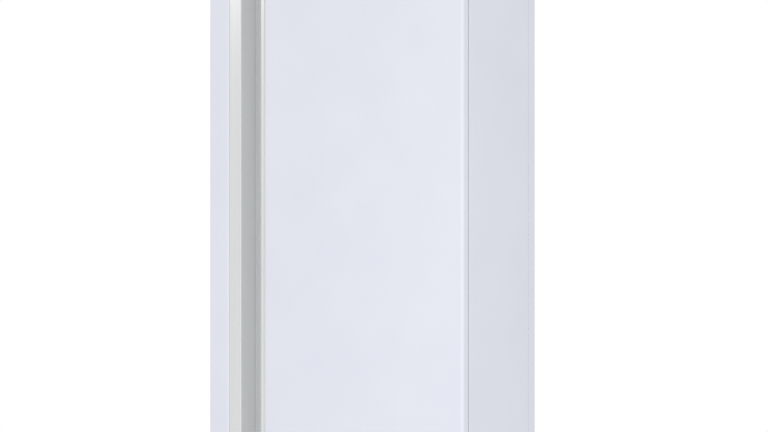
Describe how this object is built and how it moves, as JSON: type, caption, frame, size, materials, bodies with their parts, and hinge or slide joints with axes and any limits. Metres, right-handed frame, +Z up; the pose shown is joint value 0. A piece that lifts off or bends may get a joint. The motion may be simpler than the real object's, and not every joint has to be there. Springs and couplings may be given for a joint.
{
  "type": "wall battery unit",
  "caption": "Tall slim wall-hung battery cabinet with a full-height aluminium finger groove beside a wide hinged door, with modules and switchgear behind it.",
  "frame": {"origin": "centre of the wall bracket's back face, on the wall plane, at half the cabinet's width and height", "axes": "+X to the unit's right seen from the front, +Y into the wall, so the front faces -Y, +Z up"},
  "size_m": [0.64, 0.2218, 1.37],
  "materials": {
    "white_paint": "fine-textured polyester powder coat, cool white",
    "anodised_aluminium": "bead-blasted and anodised, matt silver",
    "zinc_steel": "zinc-plated sheet",
    "steel": "satin stainless",
    "module_paint": "satin charcoal powder coat",
    "grey_paint": "satin grey powder coat",
    "cell_wrap": "blue film over aluminium cell cans",
    "light_plastic": "moulded light grey",
    "opal_lens": "opal acrylic",
    "board": "green solder mask",
    "brass": "plain drawn brass",
    "cable_sheath": "black silicone sheath",
    "seal_rubber": "foamed seal",
    "red_plastic": "moulded red",
    "black_plastic": "moulded black"
  },
  "bodies": {
    "cabinet": {"back_pan": "white_paint", "base_trim": "white_paint", "breaker_body": "light_plastic", "button_bezel": "steel", "cable_gland_left": "black_plastic", "cable_gland_middle": "black_plastic", "cable_gland_right": "black_plastic", "cell_block_1": "cell_wrap", "cell_block_2": "cell_wrap", "controller_board": "board", "controller_case": "grey_paint", "controller_cover": "grey_paint", "din_rail": "zinc_steel", "door_frame": "white_paint", "earth_bar": "brass", "gland_plate": "white_paint", "grip_channel": "anodised_aluminium", "hanger_rail": "zinc_steel", "hinge_bracket_bottom": "zinc_steel", "hinge_bracket_top": "zinc_steel", "hinge_pin_bottom": "steel", "hinge_pin_top": "steel", "isolator_body": "light_plastic", "lead_link": "cable_sheath", "lead_negative": "cable_sheath", "lead_positive": "cable_sheath", "left_post": "white_paint", "module_case_1": "module_paint", "module_case_2": "module_paint", "module_front_1": "module_paint", "module_front_2": "module_paint", "module_handle_1": "black_plastic", "module_handle_2": "black_plastic", "module_shelf_1": "zinc_steel", "module_shelf_2": "zinc_steel", "mounting_plate": "zinc_steel", "right_side_panel": "white_paint", "roof_plate": "white_paint", "socket_negative_1": "black_plastic", "socket_negative_2": "black_plastic", "socket_positive_1": "red_plastic", "socket_positive_2": "red_plastic", "status_board": "board", "status_lens": "opal_lens", "top_cap": "white_paint", "wall_bracket": "zinc_steel"},
    "door": {"door_panel": "white_paint", "door_stiffener": "zinc_steel", "door_seal": "seal_rubber", "door_grip": "anodised_aluminium", "hinge_bush_top": "black_plastic", "hinge_bush_bottom": "black_plastic", "latch_housing_top": "steel", "latch_housing_bottom": "steel"},
    "latch_top": {"latch_cam_top": "zinc_steel"},
    "latch_bottom": {"latch_cam_bottom": "zinc_steel"},
    "power_button": {"power_button": "light_plastic"},
    "breaker_lever": {"breaker_lever": "black_plastic"},
    "isolator_knob": {"isolator_knob": "red_plastic"}
  },
  "joints": [
    {"name": "door_hinge", "type": "hinge", "parent": "cabinet", "child": "door", "pos_m": [0.313, -0.2125, 0], "axis": [0, 0, 1], "range_deg": [0, 120]},
    {"name": "latch_top_turn", "type": "hinge", "parent": "door", "child": "latch_top", "pos_m": [-0.102, -0.2, 0.52], "axis": [0, 1, 0], "range_deg": [0, 90]},
    {"name": "latch_bottom_turn", "type": "hinge", "parent": "door", "child": "latch_bottom", "pos_m": [-0.102, -0.2, -0.52], "axis": [0, 1, 0], "range_deg": [0, 90]},
    {"name": "power_button_press", "type": "slide", "parent": "cabinet", "child": "power_button", "axis": [0, 1, 0], "range_m": [0, 0.002], "stiffness_N_per_m": 400, "springref_m": -0.003},
    {"name": "breaker_throw", "type": "hinge", "parent": "cabinet", "child": "breaker_lever", "pos_m": [0.2, -0.0924, -0.52], "axis": [1, 0, 0], "range_deg": [0, 70]},
    {"name": "isolator_turn", "type": "hinge", "parent": "cabinet", "child": "isolator_knob", "pos_m": [0.065, -0.0934, -0.52], "axis": [0, 1, 0], "range_deg": [0, 90]}
  ]
}
